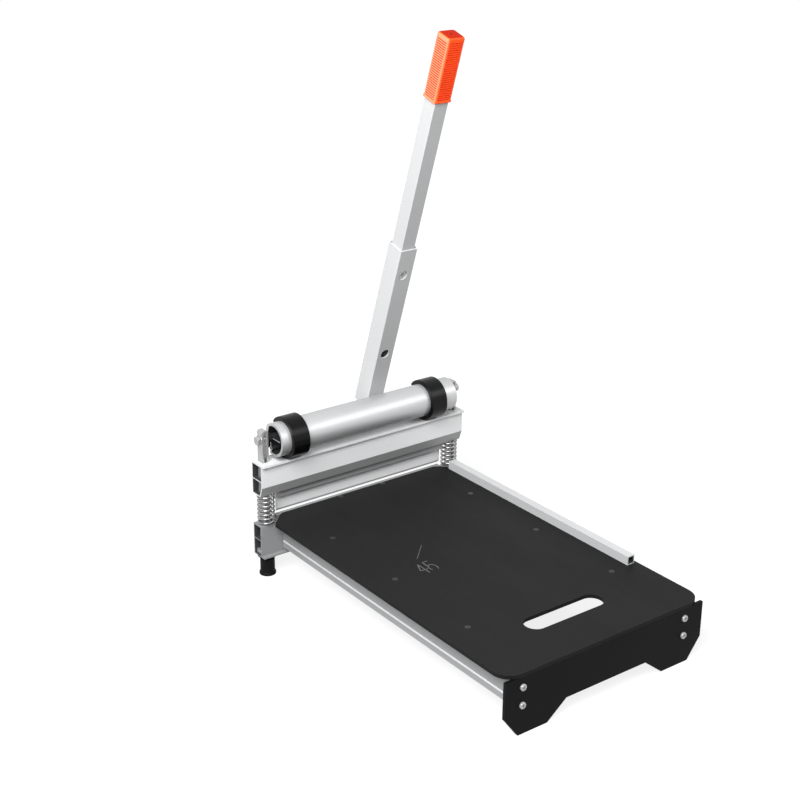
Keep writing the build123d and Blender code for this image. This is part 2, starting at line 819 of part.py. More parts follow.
def make_blade_screws():
    shank = blade_flange_thickness + blade_thickness + clamp_bar_thickness - clamp_bar_edge
    with BuildPart() as blade_screws:
        with BuildSketch(Plane.YZ.offset(back_x)):
            with Locations(*blade_screw_places()):
                Circle(blade_screw_diameter / 2)
        extrude(amount=shank)
        with BuildSketch(Plane.YZ.offset(back_x)):
            with Locations(*blade_screw_places()):
                Circle(pan_head_diameter / 2)
        extrude(amount=-pan_head_height)
        fillet(blade_screws.edges().group_by(Axis.X)[0], pan_head_round)
        with BuildSketch(Plane.YZ.offset(back_x - pan_head_height)):
            with Locations(*blade_screw_places()):
                RegularPolygon(pan_recess_depth, 6, major_radius=False)
        extrude(amount=pan_recess_depth, mode=Mode.SUBTRACT)
    blade_screws.part.label = "blade_screws"
    export_step(blade_screws.part, "parts/blade_screws.step")


def make_pan_screws(name, places, head_plane, shank_length):
    # Pan screws whose heads stand on a plane and whose shanks run back through it
    outward = Axis(head_plane.origin, head_plane.z_dir)
    with BuildPart() as pan_screws:
        with BuildSketch(head_plane):
            with Locations(*places):
                Circle(pan_head_diameter / 2)
        extrude(amount=pan_head_height)
        fillet(pan_screws.edges().group_by(outward)[-1], pan_head_round)
        with BuildSketch(head_plane.offset(pan_head_height)):
            with Locations(*places):
                Rectangle(pan_recess_length, pan_recess_width)
                Rectangle(pan_recess_width, pan_recess_length)
        extrude(amount=-pan_recess_depth, mode=Mode.SUBTRACT)
        with BuildSketch(head_plane):
            with Locations(*places):
                Circle(rail_screw_diameter / 2)
        extrude(amount=-shank_length)
    pan_screws.part.label = name
    export_step(pan_screws.part, f"parts/{name}.step")


def make_end_plate_screws():
    head_plane = Plane.YZ.offset(back_x + table_reach)
    shank_length = end_plate_thickness + rail_screw_length
    make_pan_screws("end_plate_screws", rail_port_places(), head_plane, shank_length)


def make_rail_bolts():
    # Long screws from the back of the lower beam into the rails
    head_plane = Plane(origin=(back_x, 0, 0), x_dir=(0, -1, 0), z_dir=(-1, 0, 0))
    places = [(-y, z) for y, z in rail_port_places()]
    make_pan_screws("rail_bolts", places, head_plane, lower_beam_depth + rail_screw_length)


def make_board_screws():
    places = beam_screw_places() + side_screw_places()
    cone = (board_screw_head - board_screw_diameter) / 2
    with BuildPart() as board_screws:
        with BuildSketch(Plane.XY.offset(board_top)):
            with Locations(*places):
                Circle(board_screw_head / 2)
        extrude(amount=-cone, taper=45)
        with BuildSketch(Plane.XY.offset(board_top)):
            with Locations(*places):
                Circle(board_screw_diameter / 2)
        extrude(amount=-board_screw_length)
        with BuildSketch(Plane.XY.offset(board_top)):
            with Locations(*places):
                RegularPolygon(board_screw_diameter / 4, 6)
        extrude(amount=-cone, mode=Mode.SUBTRACT)
    board_screws.part.label = "board_screws"
    export_step(board_screws.part, "parts/board_screws.step")


def make_fence_screws():
    with BuildPart() as fence_screws:
        with BuildSketch(Plane.XY.offset(lower_beam_top)):
            with Locations(*fence_screw_places()):
                Circle(board_screw_head / 2)
        extrude(amount=-pan_head_height)
        with BuildSketch(Plane.XY.offset(lower_beam_top)):
            with Locations(*fence_screw_places()):
                Circle(board_screw_diameter / 2)
        extrude(amount=fence_screw_length)
    fence_screws.part.label = "fence_screws"
    export_step(fence_screws.part, "parts/fence_screws.step")


def make_cam_roller():
    inner_radius = roller_radius - roller_wall
    flat_middle = roller_centre - front * (roller_flat - roller_flat_wall / 2)
    beyond_flat = roller_centre - front * roller_flat
    port_z = pivot_z - roller_port_drop
    slot_turn = math.radians(roller_slot_angle)
    slot_radius = roller_radius - roller_wall / 2
    slot_x = roller_x + slot_radius * math.cos(slot_turn)
    slot_z = roller_z + slot_radius * math.sin(slot_turn)
    with BuildPart() as cam_roller:
        with BuildSketch(section_plane(0)):
            with Locations((roller_x, roller_z)):
                Circle(roller_radius)
                Circle(inner_radius, mode=Mode.SUBTRACT)
            with Locations((slot_x, slot_z)):
                Rectangle(
                    2 * roller_wall,
                    roller_slot_width,
                    rotation=roller_slot_angle,
                    mode=Mode.SUBTRACT,
                )
            # Rear wall, flat for the handle
            with Locations((flat_middle.X, flat_middle.Z)):
                Rectangle(roller_flat_wall, 2 * inner_radius, rotation=-handle_lean)
            # Bosses for the pivot bolts and for a spare screw port, and the webs that carry them
            with Locations((pivot_x, pivot_z)):
                Rectangle(2 * roller_radius, rib_thickness)
                Circle(roller_boss_radius)
            with Locations((pivot_x, port_z)):
                Circle(roller_port_radius)
            with Locations((pivot_x, port_z)):
                Rectangle(rib_thickness, roller_port_drop, align=(Align.CENTER, Align.MIN))
            with Locations((pivot_x, port_z)):
                Rectangle(rib_thickness, roller_port_drop, align=(Align.CENTER, Align.MAX))
            with Locations((roller_x, roller_z)):
                Circle(roller_radius, mode=Mode.INTERSECT)
            with Locations((beyond_flat.X, beyond_flat.Z)):
                Rectangle(
                    roller_radius,
                    2 * roller_radius,
                    rotation=-handle_lean,
                    align=(Align.MAX, Align.CENTER),
                    mode=Mode.SUBTRACT,
                )
            with Locations((pivot_x, pivot_z)):
                Circle(pivot_bolt_diameter / 2 + pivot_gap, mode=Mode.SUBTRACT)
            with Locations((pivot_x, port_z)):
                Circle(roller_port_hole, mode=Mode.SUBTRACT)
        extrude(amount=roller_length / 2, both=True)
        with BuildSketch(face_plane(-roller_flat, handle_bolt_place, handle_offset_y)):
            with GridLocations(handle_bolt_spacing, 0, 2, 1):
                Circle(handle_bolt_diameter / 2)
        extrude(amount=roller_flat_wall, mode=Mode.SUBTRACT)
    cam_roller.part.label = "cam_roller"
    export_step(cam_roller.part, "parts/cam_roller.step")


def on_circle(radius, degrees):
    turn = math.radians(degrees)
    return (roller_x + radius * math.cos(turn), roller_z + radius * math.sin(turn))


def cam_point(degrees):
    # A point of the wear band's working curve. Its distance to the pivot, measured straight down
    # on the beam, grows by the same amount for each degree that the handle turns.
    turn = math.radians(degrees)
    reach = pivot_z - upper_beam_top - slide_gap + band_lead * turn
    normal = turn - math.pi / 2
    return (
        pivot_x + reach * math.cos(normal) - band_lead * math.sin(normal),
        pivot_z + reach * math.sin(normal) + band_lead * math.cos(normal),
    )


def make_wear_band(name, centre_y):
    outer_radius = roller_radius + band_thickness
    tip_angle = band_top_angle - band_tip_angle
    # Its upper end lies on the roller's flat
    flat_angle = 180 - handle_lean
    flat_edge_angle = flat_angle - math.degrees(math.acos(roller_flat / roller_radius))
    tip_reach = roller_flat / math.cos(math.radians(flat_angle - band_top_angle))
    cam_sweep = band_front_angle + band_back_angle
    cam_angles = [band_front_angle - cam_sweep * step / band_steps for step in range(band_steps + 1)]
    cam_points = [cam_point(angle) for angle in cam_angles]
    last_x, last_z = cam_points[-1]
    last_angle = math.degrees(math.atan2(last_z - roller_z, last_x - roller_x))
    with BuildPart() as wear_band:
        with BuildSketch(section_plane(centre_y)):
            with BuildLine():
                Line(on_circle(tip_reach, band_top_angle), on_circle(outer_radius, tip_angle))
                ThreePointArc(
                    on_circle(outer_radius, tip_angle),
                    on_circle(outer_radius, tip_angle / 2),
                    on_circle(outer_radius, 0),
                )
                Spline(on_circle(outer_radius, 0), *cam_points)
                Line(cam_points[-1], on_circle(roller_radius, last_angle - band_tip_angle))
                ThreePointArc(
                    on_circle(roller_radius, last_angle - band_tip_angle),
                    on_circle(roller_radius, 0),
                    on_circle(roller_radius, flat_edge_angle),
                )
                Line(on_circle(roller_radius, flat_edge_angle), on_circle(tip_reach, band_top_angle))
            make_face()
        extrude(amount=band_width / 2, both=True)
    wear_band.part.label = name
    export_step(wear_band.part, f"parts/{name}.step")


def make_handle_outer_tube():
    with BuildPart() as handle_outer_tube:
        with BuildSketch(handle_plane(outer_tube_start, handle_offset_y)):
            with Locations((outer_tube_centre, 0)):
                RectangleRounded(outer_tube_size, outer_tube_size, outer_tube_radius)
                Rectangle(
                    outer_tube_size - 2 * outer_tube_wall,
                    outer_tube_size - 2 * outer_tube_wall,
                    mode=Mode.SUBTRACT,
                )
        extrude(amount=outer_tube_end - outer_tube_start)
        for place in (low_hole_place, high_hole_place):
            with BuildSketch(face_plane(-roller_flat, place, inner_tube_y)):
                Circle(access_hole_diameter / 2)
            extrude(amount=-outer_tube_wall, mode=Mode.SUBTRACT)
        with BuildSketch(face_plane(-roller_flat, handle_bolt_place, handle_offset_y)):
            with GridLocations(handle_bolt_spacing, 0, 2, 1):
                Circle(handle_bolt_diameter / 2 + press_gap)
        extrude(amount=-outer_tube_size, mode=Mode.SUBTRACT)
    handle_outer_tube.part.label = "handle_outer_tube"
    export_step(handle_outer_tube.part, "parts/handle_outer_tube.step")


def make_handle_lug():
    lug_size = outer_tube_size - 2 * outer_tube_wall - lug_gap
    with BuildPart() as handle_lug:
        with BuildSketch(handle_plane(outer_tube_start, handle_offset_y)):
            with Locations((outer_tube_centre, 0)):
                Rectangle(lug_size, lug_size)
        extrude(amount=lug_length)
        with BuildSketch(face_plane(-roller_flat, handle_bolt_place, handle_offset_y)):
            with GridLocations(handle_bolt_spacing, 0, 2, 1):
                Circle(handle_bolt_diameter / 2 + press_gap)
        extrude(amount=-outer_tube_size, mode=Mode.SUBTRACT)
    handle_lug.part.label = "handle_lug"
    export_step(handle_lug.part, "parts/handle_lug.step")


def make_handle_bolts():
    with BuildPart() as handle_bolts:
        with BuildSketch(face_plane(outer_tube_back, handle_bolt_place, handle_offset_y)):
            with GridLocations(handle_bolt_spacing, 0, 2, 1):
                Circle(handle_bolt_diameter / 2)
        extrude(amount=outer_tube_size + roller_flat_wall)
        with BuildSketch(face_plane(outer_tube_back, handle_bolt_place, handle_offset_y)):
            with GridLocations(handle_bolt_spacing, 0, 2, 1):
                Circle(handle_bolt_head / 2)
        extrude(amount=-handle_bolt_head_height)
        top = face_plane(outer_tube_back - handle_bolt_head_height, handle_bolt_place, handle_offset_y)
        with BuildSketch(top):
            with GridLocations(handle_bolt_spacing, 0, 2, 1):
                RegularPolygon(handle_bolt_diameter * socket_share / 2, 6)
        extrude(amount=handle_bolt_head_height * socket_share, mode=Mode.SUBTRACT)
    handle_bolts.part.label = "handle_bolts"
    export_step(handle_bolts.part, "parts/handle_bolts.step")


def make_tube_mouth_liner():
    # An angle of plastic that fills the room behind and beside the inner tube
    opening = outer_tube_size - 2 * outer_tube_wall - 2 * press_gap
    taken = inner_tube_size + 2 * inner_tube_gap
    with BuildPart() as tube_mouth_liner:
        with BuildSketch(handle_plane(outer_tube_end - liner_recess, 0)):
            with Locations((outer_tube_centre, handle_offset_y)):
                Rectangle(opening, opening)
            with Locations((inner_tube_centre, inner_tube_y)):
                Rectangle(taken, taken, mode=Mode.SUBTRACT)
        extrude(amount=-liner_length)
    tube_mouth_liner.part.label = "tube_mouth_liner"
    export_step(tube_mouth_liner.part, "parts/tube_mouth_liner.step")


def make_handle_inner_tube():
    bore = inner_tube_size - 2 * inner_tube_wall
    start = high_hole_place - inner_tube_tail
    end = grip_start + grip_length - grip_cap
    with BuildPart() as handle_inner_tube:
        with BuildSketch(handle_plane(start, inner_tube_y)):
            with Locations((inner_tube_centre, 0)):
                RectangleRounded(inner_tube_size, inner_tube_size, inner_tube_radius)
                Rectangle(bore, bore, mode=Mode.SUBTRACT)
        extrude(amount=end - start)
        with BuildSketch(face_plane(inner_tube_front, high_hole_place, inner_tube_y)):
            Circle(lock_head_diameter / 2 + press_gap)
        extrude(amount=-inner_tube_wall, mode=Mode.SUBTRACT)
        with BuildSketch(face_plane(inner_tube_front - inner_tube_size, high_hole_place, inner_tube_y)):
            Circle(lock_screw_diameter / 2 + press_gap)
        extrude(amount=inner_tube_wall, mode=Mode.SUBTRACT)
    handle_inner_tube.part.label = "handle_inner_tube"
    export_step(handle_inner_tube.part, "parts/handle_inner_tube.step")


def make_inner_tube_shoe():
    # A plastic end piece that fits the outer tube's bore and plugs into the inner tube
    bore = inner_tube_size - 2 * inner_tube_wall
    opening = outer_tube_size - 2 * outer_tube_wall - 2 * inner_tube_gap
    start = high_hole_place - inner_tube_tail
    with BuildPart() as inner_tube_shoe:
        with BuildSketch(handle_plane(start, handle_offset_y)):
            with Locations((outer_tube_centre, 0)):
                Rectangle(opening, opening)
        extrude(amount=-shoe_length)
        with BuildSketch(handle_plane(start, inner_tube_y)):
            with Locations((inner_tube_centre, 0)):
                Rectangle(bore - press_gap, bore - press_gap)
        extrude(amount=shoe_spigot)
    inner_tube_shoe.part.label = "inner_tube_shoe"
    export_step(inner_tube_shoe.part, "parts/inner_tube_shoe.step")


def make_extension_lock_block():
    bore = inner_tube_size - 2 * inner_tube_wall
    head_seat = inner_tube_front - lock_head_height
    with BuildPart() as extension_lock_block:
        with BuildSketch(handle_plane(high_hole_place - lock_block_length / 2, inner_tube_y)):
            with Locations((inner_tube_centre, 0)):
                Rectangle(bore - press_gap, bore - press_gap)
        extrude(amount=lock_block_length)
        with BuildSketch(face_plane(inner_tube_front, high_hole_place, inner_tube_y)):
            Circle(lock_head_diameter / 2 + press_gap)
        extrude(amount=-lock_head_height, mode=Mode.SUBTRACT)
        with BuildSketch(face_plane(head_seat, high_hole_place, inner_tube_y)):
            Circle(lock_screw_diameter / 2)
        extrude(amount=-inner_tube_size, mode=Mode.SUBTRACT)
    extension_lock_block.part.label = "extension_lock_block"
    export_step(extension_lock_block.part, "parts/extension_lock_block.step")


def make_extension_lock_screw():
    # Turned in through the hole in the outer tube, its tip bears on the tube's back wall
    tip = outer_tube_back + outer_tube_wall + inner_tube_gap
    head_seat = inner_tube_front - lock_head_height
    with BuildPart() as extension_lock_screw:
        with BuildSketch(face_plane(inner_tube_front, high_hole_place, inner_tube_y)):
            Circle(lock_head_diameter / 2)
        extrude(amount=-lock_head_height)
        with BuildSketch(face_plane(head_seat, high_hole_place, inner_tube_y)):
            Circle(lock_screw_diameter / 2)
        extrude(amount=tip - head_seat)
        with BuildSketch(face_plane(inner_tube_front, high_hole_place, inner_tube_y)):
            RegularPolygon(lock_socket_size / 2, 6, major_radius=False)
        extrude(amount=-lock_head_height * socket_share, mode=Mode.SUBTRACT)
    extension_lock_screw.part.label = "extension_lock_screw"
    export_step(extension_lock_screw.part, "parts/extension_lock_screw.step")


def make_handle_grip():
    rib_pitch = (grip_length - grip_collar - grip_cap) / grip_rib_count
    groove_length = grip_size * grip_face_share
    with BuildPart() as handle_grip:
        with BuildSketch(handle_plane(grip_start, inner_tube_y)):
            with Locations((inner_tube_centre, 0)):
                RectangleRounded(grip_size, grip_size, grip_corner_radius)
        extrude(amount=grip_length)
        end = Axis(roller_centre, along)
        fillet(handle_grip.edges().group_by(end)[-1], grip_top_round)
        with BuildSketch(handle_plane(grip_start, inner_tube_y)):
            with Locations((inner_tube_centre, 0)):
                RectangleRounded(inner_tube_size, inner_tube_size, inner_tube_radius)
        extrude(amount=grip_length - grip_cap, mode=Mode.SUBTRACT)
        with BuildSketch(handle_plane(grip_start + grip_length, inner_tube_y)):
            with Locations((inner_tube_centre, 0)):
                Circle(grip_hole_diameter / 2)
        extrude(amount=-grip_cap, mode=Mode.SUBTRACT)
        # Grooves across the four faces leave the ribs between them
        for step in range(grip_rib_count):
            place = grip_start + grip_collar + (step + 0.5) * rib_pitch
            with BuildSketch(handle_plane(place, inner_tube_y)):
                with Locations((inner_tube_centre, 0)):
                    Rectangle(grip_size, groove_length)
                    Rectangle(groove_length, grip_size)
                    Rectangle(
                        grip_size - 2 * grip_rib_depth,
                        grip_size - 2 * grip_rib_depth,
                        mode=Mode.SUBTRACT,
                    )
            extrude(amount=rib_pitch * grip_rib_share / 2, both=True, mode=Mode.SUBTRACT)
    handle_grip.part.label = "handle_grip"
    export_step(handle_grip.part, "parts/handle_grip.step")


make_lower_beam()
make_anvil_strip()
make_table_board()
make_side_rail("near_side_rail", -1)
make_side_rail("far_side_rail", 1)
make_rail_bolts()
make_end_plate()
make_end_plate_screws()
make_board_screws()
make_guide_fence()
make_fence_screws()
make_foot("near_foot", -1)
make_foot("far_foot", 1)
make_foot_washers()
make_foot_lock_nuts()
make_foot_bolts()
make_hanger("near_hanger", -1)
make_hanger("far_hanger", 1)
make_hanger_anchors()
make_pivot_bolt("near_pivot_bolt", -1)
make_pivot_bolt("far_pivot_bolt", 1)
make_pivot_washers()
make_pivot_spacers()
make_return_spring("near_return_spring", -1)
make_return_spring("far_return_spring", 1)
make_upper_beam()
make_cutting_blade()
make_blade_clamp_bar()
make_blade_screws()
make_cam_roller()
make_wear_band("near_wear_band", near_band_inset - roller_length / 2)
make_wear_band("far_wear_band", roller_length / 2 - far_band_inset)
make_handle_outer_tube()
make_handle_lug()
make_handle_bolts()
make_tube_mouth_liner()
make_handle_inner_tube()
make_inner_tube_shoe()
make_extension_lock_block()
make_extension_lock_screw()
make_handle_grip()
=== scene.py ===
import json
import math
import bmesh
import bpy
from mathutils import Matrix, Vector
from mathutils.bvhtree import BVHTree


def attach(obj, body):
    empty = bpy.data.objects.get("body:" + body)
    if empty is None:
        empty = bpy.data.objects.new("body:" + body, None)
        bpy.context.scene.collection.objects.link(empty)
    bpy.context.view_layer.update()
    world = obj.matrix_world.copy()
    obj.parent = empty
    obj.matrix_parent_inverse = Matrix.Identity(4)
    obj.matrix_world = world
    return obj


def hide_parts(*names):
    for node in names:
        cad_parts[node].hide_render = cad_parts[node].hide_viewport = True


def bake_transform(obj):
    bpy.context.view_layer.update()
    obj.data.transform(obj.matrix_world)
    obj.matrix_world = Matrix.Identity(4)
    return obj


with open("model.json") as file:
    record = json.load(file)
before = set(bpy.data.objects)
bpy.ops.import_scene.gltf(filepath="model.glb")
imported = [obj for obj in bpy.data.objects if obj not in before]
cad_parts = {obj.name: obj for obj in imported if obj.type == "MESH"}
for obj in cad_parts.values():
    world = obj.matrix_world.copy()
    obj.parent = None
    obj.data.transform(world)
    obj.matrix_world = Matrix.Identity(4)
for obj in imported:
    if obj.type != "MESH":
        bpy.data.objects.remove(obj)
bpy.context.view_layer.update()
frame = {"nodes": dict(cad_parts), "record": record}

# Laminate cutter, dressed for looks. Metres, in the frame of the CAD model.
MM = 0.001
NODES = frame["nodes"]
BODIES = frame["record"]["behaviour"]["bodies"]
BODY_OF = {name: body for body, names in BODIES.items() for name in names}

# The direction along the leaning lever, and the one out of its front face
LEAN = math.radians(18.24)
ALONG = Vector((math.sin(LEAN), 0.0, math.cos(LEAN)))
FRONT = Vector((math.cos(LEAN), 0.0, -math.sin(LEAN)))

# The beams' back face, the axis of the two posts with their springs and pivots, and the roller's own axis
BACK_X = -0.275369
POST_X = -0.261969
POST_Y = 0.180
PIVOT_Z = 0.229
ROLLER = Vector((-0.254069, 0.0, 0.2267))
BOARD_TOP = 0.0932

# ---------------------------------------------------------------- camera
CAMERA_PLACE = (1.54128, -1.26729, 1.13417)
SENSOR_WIDTH_MM = 36.0
LENS_MM = 67.5607

forward = Vector((-0.74407, 0.55495, -0.37202)).normalized()
right = Vector((0.59591, 0.80303, 0.00602))
right = (right - forward * right.dot(forward)).normalized()
up = right.cross(forward)
camera_data = bpy.data.cameras.new("camera")
camera_data.sensor_width = SENSOR_WIDTH_MM
camera_data.lens = LENS_MM
camera_data.clip_start = 0.05
camera_data.clip_end = 50.0
camera = bpy.data.objects.new("camera", camera_data)
rotation = Matrix((right, up, -forward)).transposed().to_4x4()
camera.matrix_world = Matrix.Translation(CAMERA_PLACE) @ rotation
bpy.context.collection.objects.link(camera)
bpy.context.scene.camera = camera


# ---------------------------------------------------------------- materials
class Nodes:
    """A small helper that adds nodes to one material and joins them."""

    def __init__(self, name):
        self.material = bpy.data.materials.new(name)
        self.material.use_nodes = True
        self.tree = self.material.node_tree
        self.tree.nodes.clear()
        self.output = self.tree.nodes.new("ShaderNodeOutputMaterial")

    def add(self, kind, settings=None, **inputs):
        node = self.tree.nodes.new(kind)
        for key, value in (settings or {}).items():
            setattr(node, key, value)
        for key, value in inputs.items():
            self.put(node, key.replace("_", " "), value)
        return node

    def put(self, node, key, value):
        socket = node.inputs[int(key)] if key.isdigit() else node.inputs[key]
        if isinstance(value, bpy.types.NodeSocket):
            self.tree.links.new(value, socket)
        elif isinstance(value, bpy.types.Node):
            self.tree.links.new(value.outputs[0], socket)
        else:
            socket.default_value = value

    def math(self, operation, a, b=0.0):
        node = self.add("ShaderNodeMath", {"operation": operation})
        self.put(node, "0", a)
        self.put(node, "1", b)
        return node.outputs[0]

    def place(self, axes=None):
        """Object coordinates, or their shares along the given directions."""
        here = self.add("ShaderNodeTexCoord").outputs["Object"]
        if axes is None:
            return here
        parts = []
        for axis in axes:
            dot = self.add("ShaderNodeVectorMath", {"operation": "DOT_PRODUCT"})
            self.put(dot, "0", here)
            self.put(dot, "1", tuple(axis))
            parts.append(dot.outputs["Value"])
        return self.add("ShaderNodeCombineXYZ", X=parts[0], Y=parts[1], Z=parts[2]).outputs[0]

    def stretched(self, place, scale):
        node = self.add("ShaderNodeVectorMath", {"operation": "MULTIPLY"})
        self.put(node, "0", place)
        self.put(node, "1", tuple(scale))
        return node.outputs[0]

    def noise(self, place, scale, detail, roughness):
        node = self.add("ShaderNodeTexNoise", {"noise_dimensions": "3D"}, Vector=place, Scale=scale)
        node.inputs["Detail"].default_value = detail
        node.inputs["Roughness"].default_value = roughness
        return node.outputs["Fac"]

    def span(self, value, low, high, to_low, to_high):
        node = self.add("ShaderNodeMapRange", Value=value)
        keys = ("From Min", "From Max", "To Min", "To Max")
        for key, number in zip(keys, (low, high, to_low, to_high)):
            node.inputs[key].default_value = number
        return node.outputs["Result"]

    def mix(self, factor, a, b):
        node = self.add("ShaderNodeMix", {"data_type": "RGBA"})
        for socket, value in zip((node.inputs[0], node.inputs[6], node.inputs[7]), (factor, a, b)):
            if isinstance(value, bpy.types.NodeSocket):
                self.tree.links.new(value, socket)
            else:
                socket.default_value = value
        return node.outputs[2]

    def bump(self, height, strength, distance, normal=None):
        node = self.add("ShaderNodeBump", Height=height, Strength=strength, Distance=distance)
        if normal is not None:
            self.put(node, "Normal", normal)
        return node.outputs["Normal"]

    def surface(self, **inputs):
        shader = self.add("ShaderNodeBsdfPrincipled")
        for key, value in inputs.items():
            self.put(shader, key.replace("_", " "), value)
        self.tree.links.new(shader.outputs[0], self.output.inputs["Surface"])
        self.shader = shader
        return self.material


def rgb(red, green, blue):
    return (red, green, blue, 1.0)


# The direction in which a metal was drawn, and two directions across it
GRAIN_Y = ((0, 1, 0), (1, 0, 0), (0, 0, 1))
GRAIN_X = ((1, 0, 0), (0, 1, 0), (0, 0, 1))
GRAIN_LEVER = (ALONG, FRONT, (0, 1, 0))

# How far a metal's tone goes up and down from its colour
METAL_TONE = 0.05


def metal(
    name,
    colour,
    grain,
    metallic=0.1,
    rough=(0.36, 0.46),
    streak=900.0,
    pits=0.25,
    painted_facing_light=None,
    painted_glint=None,
    gloss=0.5,
):
    """Extruded or drawn metal: fine lines along its length and a soft cloudy tone.

    painted_facing_light: painted light and shade by facing. A direction, a factor and a start: from the
    start on, a face turned that way takes more and more of the colour times the factor, a painted shade
    below 1 and a painted highlight above 1.
    glint: a painted highlight line. Two heights and a factor: between the heights the metal has the colour
    times the factor.
    """
    n = Nodes(name)
    place = n.place(grain)
    lines = n.noise(n.stretched(place, (3.0, streak, streak)), 1.0, 4.0, 0.6)
    fine = n.noise(n.stretched(place, (40.0, streak * 3.0, streak * 3.0)), 1.0, 2.0, 0.6)
    cloud = n.noise(n.place(), 22.0, 4.0, 0.6)
    speckle = n.noise(n.place(), 2600.0, 2.0, 0.7)
    darker = rgb(*[c * (1.0 - METAL_TONE) for c in colour])
    lighter = rgb(*[min(1.0, c * (1.0 + METAL_TONE)) for c in colour])
    tinted = n.mix(n.span(lines, 0.3, 0.7, 0.0, 1.0), darker, lighter)
    shaded = n.mix(n.span(cloud, 0.35, 0.75, 0.0, 0.5), tinted, darker)
    tone = n.mix(n.span(speckle, 0.3, 0.7, 0.0, 0.35), shaded, darker)
    # Painted light and shade: faces turned one way get a darker or paler copy of the colour
    if painted_facing_light:
        direction, factor, start = painted_facing_light
        facing = n.add("ShaderNodeVectorMath", {"operation": "DOT_PRODUCT"})
        n.put(facing, "0", n.add("ShaderNodeTexCoord").outputs["Normal"])
        n.put(facing, "1", direction)
        turned = n.span(facing.outputs["Value"], start, 0.99, 0.0, 1.0)
        tone = n.mix(turned, tone, rgb(*[c * factor for c in colour]))
    # Painted highlight: a bright line between two heights
    if painted_glint:
        low, high, factor = painted_glint
        height = n.add("ShaderNodeSeparateXYZ", Vector=n.place()).outputs["Z"]
        over, under = n.math("GREATER_THAN", height, low), n.math("LESS_THAN", height, high)
        bright = rgb(*[min(0.95, c * factor) for c in colour])
        tone = n.mix(n.math("MULTIPLY", over, under), tone, bright)
    roughness = n.span(n.math("ADD", cloud, fine), 0.7, 1.3, rough[0], rough[1])
    normal = n.bump(lines, 0.5, 0.00001)
    normal = n.bump(speckle, pits, 0.00002, normal)
    made = n.surface(Base_Color=tone, Metallic=metallic, Roughness=roughness, Normal=normal)
    n.shader.inputs["Specular IOR Level"].default_value = gloss
    return made


def plated(name, colour, rough=(0.22, 0.36), metallic=0.6):
    """Zinc-plated steel: bright, with a mottled sheen and small dull specks."""
    n = Nodes(name)
    place = n.place()
    cloud = n.noise(place, 90.0, 4.0, 0.6)
    specks = n.noise(place, 1400.0, 2.0, 0.6)
    darker = rgb(*[c * 0.82 for c in colour])
    tinted = n.mix(n.span(cloud, 0.35, 0.7, 0.0, 1.0), rgb(*colour), darker)
    roughness = n.span(n.math("ADD", cloud, specks), 0.75, 1.3, rough[0], rough[1])
    normal = n.bump(specks, 0.3, 0.00003)
    return n.surface(Base_Color=tinted, Metallic=metallic, Roughness=roughness, Normal=normal)


def coated(name, colour, rough=(0.38, 0.5), peel=900.0, depth=0.00006, lighter=1.5, gloss=0.5):
    """Powder coat, lacquer or moulded plastic: one colour with an orange-peel surface."""
    n = Nodes(name)
    place = n.place()
    peel_height = n.noise(place, peel, 2.0, 0.5)
    cloud = n.noise(place, 14.0, 4.0, 0.6)
    dust = n.noise(place, 3200.0, 1.0, 0.5)
    pale = rgb(*[min(1.0, c * lighter) for c in colour])
    tinted = n.mix(n.span(cloud, 0.35, 0.8, 0.0, 0.35), rgb(*colour), pale)
    dusty = n.mix(n.span(dust, 0.66, 0.8, 0.0, 0.5), tinted, pale)
    roughness = n.span(cloud, 0.3, 0.7, rough[0], rough[1])
    normal = n.bump(peel_height, 0.3, depth)
    made = n.surface(Base_Color=dusty, Roughness=roughness, Normal=normal)
    n.shader.inputs["Specular IOR Level"].default_value = gloss
    return made


def board_material():
    """Charcoal laminate on top, darker pressed fibre on the edges, and a painted highlight on the rounded
    rim between them.
    """
    n = Nodes("charcoal_board")
    place = n.place()
    leather = n.noise(place, 1500.0, 3.0, 0.6)
    cloud = n.noise(place, 9.0, 5.0, 0.65)
    smudge = n.noise(n.stretched(place, (6.0, 22.0, 6.0)), 1.0, 4.0, 0.6)
    fibre = n.noise(n.stretched(place, (500.0, 500.0, 3000.0)), 1.0, 2.0, 0.6)
    top_dark, top_pale = rgb(0.011, 0.011, 0.0115), rgb(0.0145, 0.0145, 0.015)
    edge_dark, edge_pale = rgb(0.008, 0.008, 0.008), rgb(0.015, 0.0145, 0.014)
    top = n.mix(n.span(cloud, 0.3, 0.75, 0.0, 1.0), top_dark, top_pale)
    edge = n.mix(n.span(fibre, 0.3, 0.7, 0.0, 1.0), edge_dark, edge_pale)
    own_normal = n.add("ShaderNodeTexCoord").outputs["Normal"]
    facing = n.add("ShaderNodeSeparateXYZ", Vector=own_normal).outputs["Z"]
    flat = n.span(n.math("ABSOLUTE", facing), 0.6, 0.8, 0.0, 1.0)
    colour = n.mix(flat, edge, top)
    # Painted highlight: the rounded rim between the top and the edges is much paler than either
    over_edge = n.span(facing, 0.15, 0.35, 0.0, 1.0)
    under_top = n.span(facing, 0.93, 0.985, 1.0, 0.0)
    rim = n.math("MULTIPLY", over_edge, under_top)
    colour = n.mix(rim, colour, rgb(0.12, 0.12, 0.122))
    roughness = n.span(n.math("ADD", smudge, cloud), 0.7, 1.3, 0.5, 0.64)
    normal = n.bump(leather, 0.25, 0.00005)
    made = n.surface(Base_Color=colour, Roughness=roughness, Normal=normal)
    n.shader.inputs["Specular IOR Level"].default_value = 0.07
    return made


